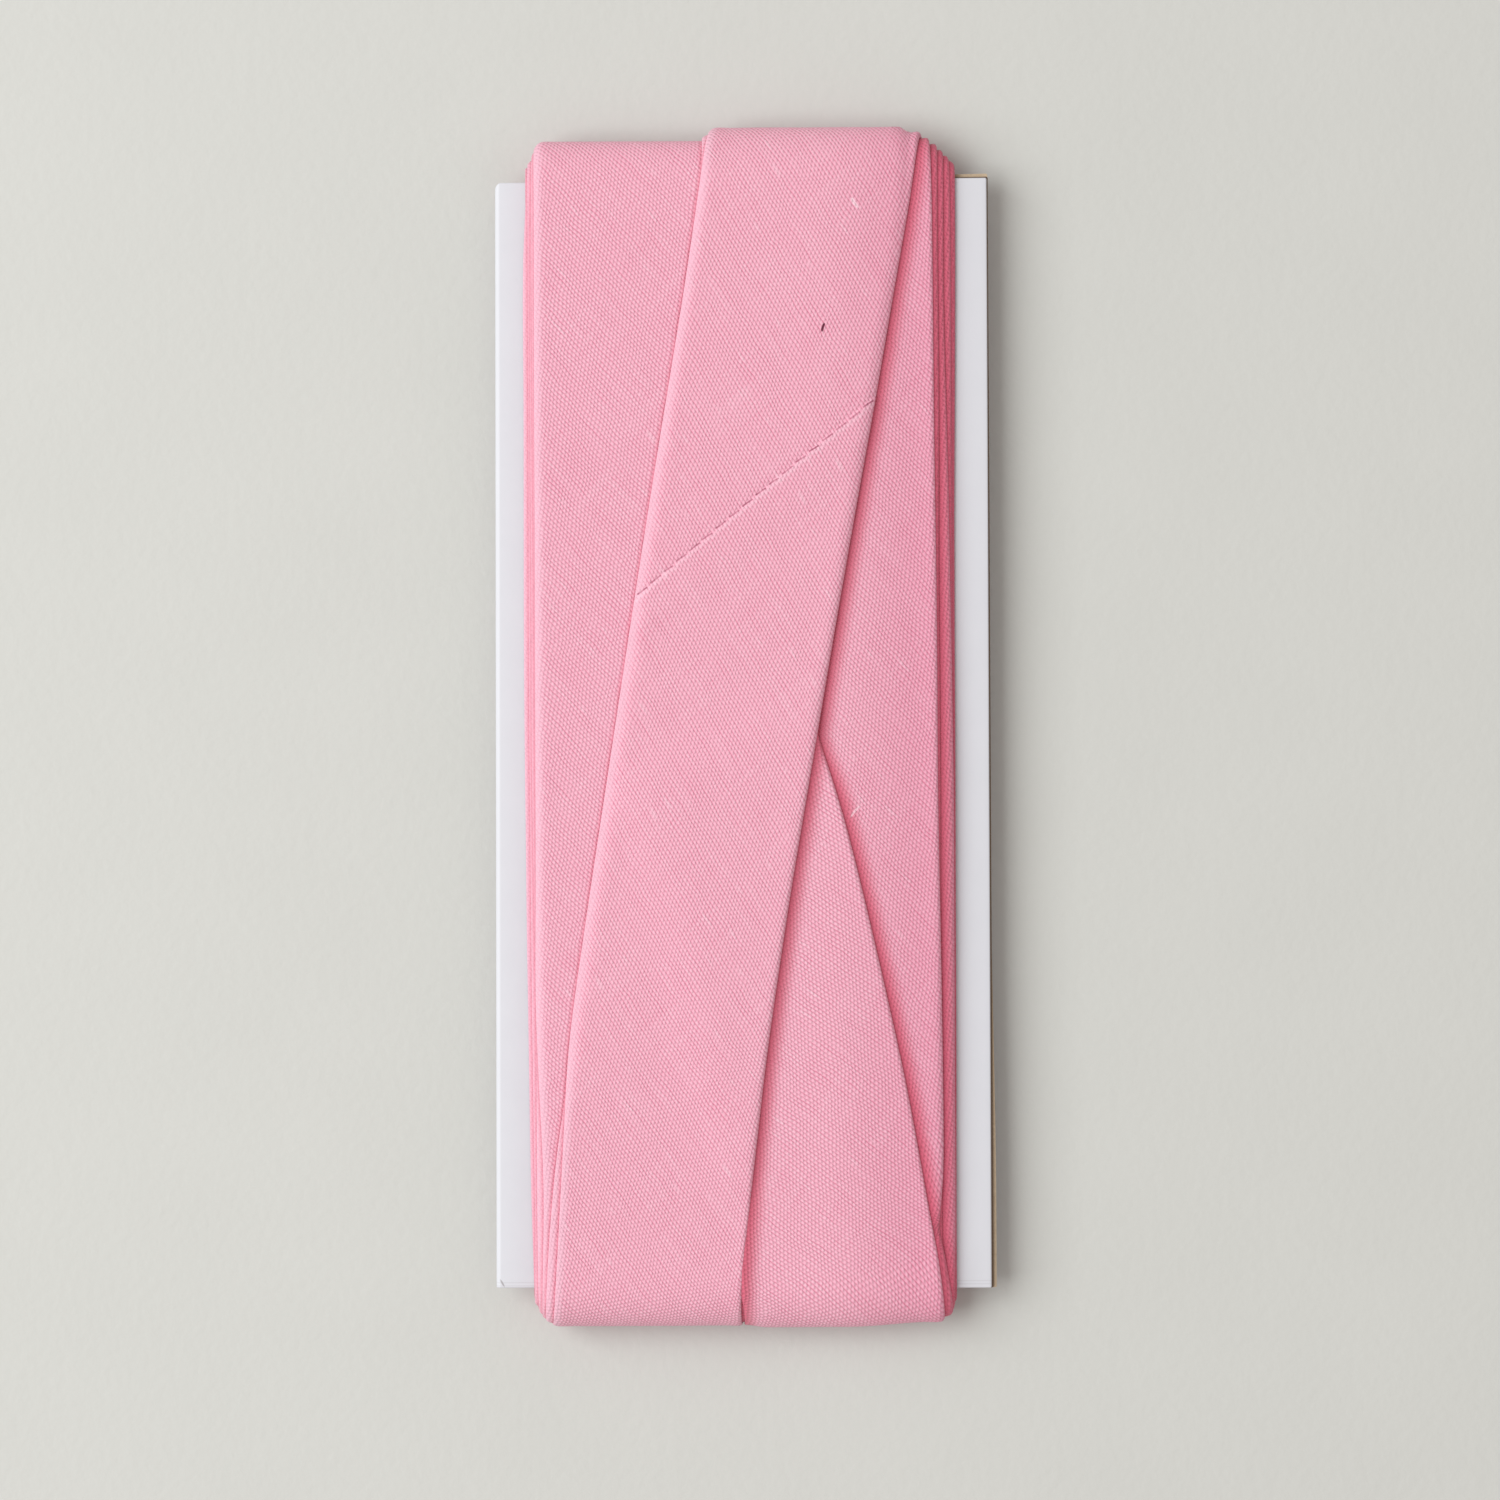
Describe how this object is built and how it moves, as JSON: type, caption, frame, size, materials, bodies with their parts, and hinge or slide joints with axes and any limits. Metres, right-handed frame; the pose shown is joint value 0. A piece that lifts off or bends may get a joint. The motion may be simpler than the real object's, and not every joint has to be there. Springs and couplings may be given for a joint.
{
  "type": "roll of bias binding on a winding card",
  "caption": "Folded bias tape wound lengthwise round a flat white card in side-by-side columns, the last turns crossing over them and the end tucked in, lying on its back.",
  "frame": {"origin": "on the surface that the roll lies on, under the middle of its outline", "axes": "+X to the right of the card, +Y towards its top end, +Z out of its front face, away from the surface"},
  "size_m": [0.0494, 0.119, 0.0075],
  "materials": {
    "binding": "matt plain-weave poly-cotton, folded and pressed",
    "card_board": "smooth white coated face, brown cut edge"
  },
  "bodies": {
    "root": {"binding_winding": "binding", "card": "card_board"}
  },
  "joints": []
}
